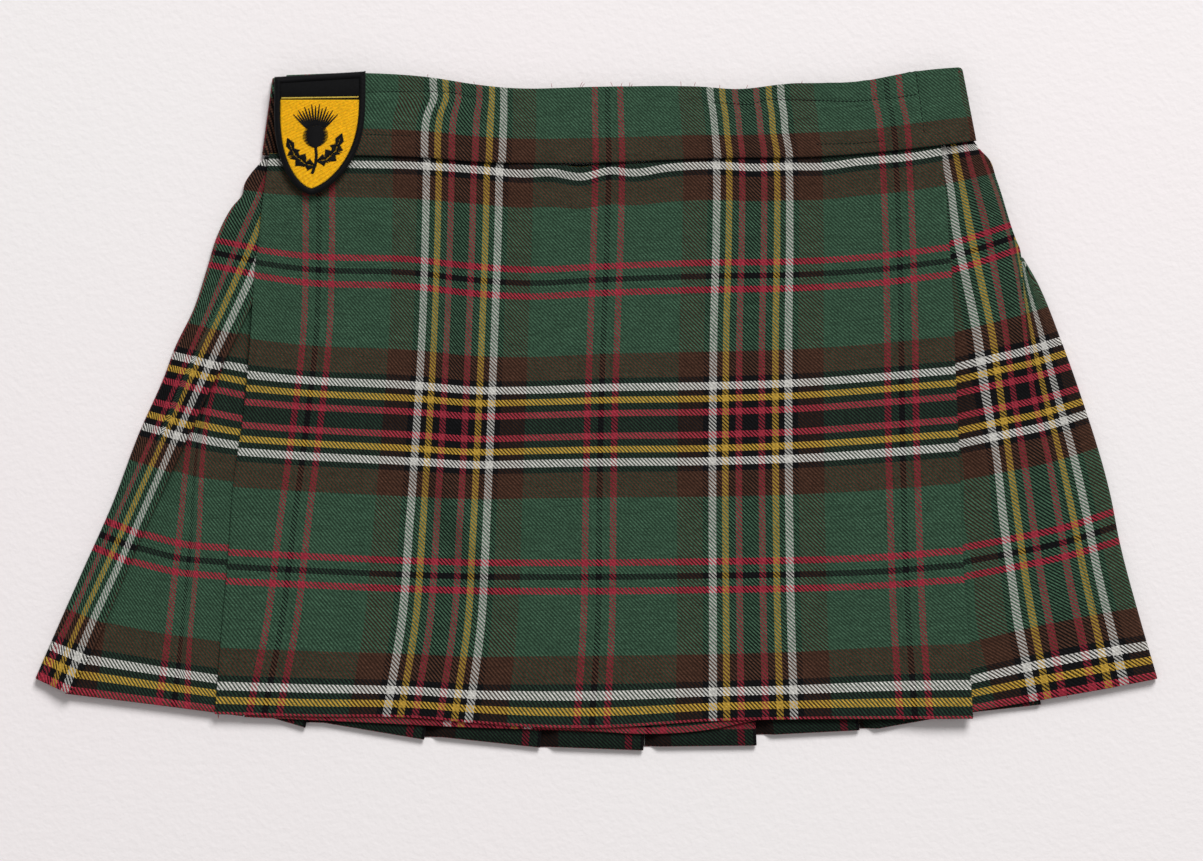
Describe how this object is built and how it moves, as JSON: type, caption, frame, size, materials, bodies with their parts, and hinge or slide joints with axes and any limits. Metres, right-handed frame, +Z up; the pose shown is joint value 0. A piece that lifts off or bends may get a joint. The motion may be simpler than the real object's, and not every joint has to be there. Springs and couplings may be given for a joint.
{
  "type": "short pleated tartan kilt laid flat",
  "caption": "Short wrap kilt in checked twill, laid flat: flat outer apron, tapered side pleats, knife-pleated back, folded waistband and a plain shield patch.",
  "frame": {"origin": "middle of the laid-out kilt's outline, on the surface it lies on", "axes": "+X to the viewer's right across the kilt, +Y from the hem to the waist, +Z up, out of the outer apron"},
  "size_m": [0.5502, 0.335, 0.0136],
  "materials": {
    "tartan": "matte 2/2 twill, green ground with black, brown, red, yellow and white lines",
    "waistband": "matte 2/2 twill of the same cloth, folded",
    "badge_yellow": "satin-stitch embroidery",
    "badge_black": "matte stitched twill and overlocked border"
  },
  "bodies": {
    "root": {"outer_apron": "tartan", "under_apron": "tartan", "pleats_left": "tartan", "pleats_right": "tartan", "pleats_back": "tartan", "waistband_outer": "waistband", "waistband_under": "waistband", "waistband_back": "waistband", "badge_field": "badge_yellow", "badge_header": "badge_black", "badge_border": "badge_black"}
  },
  "joints": []
}
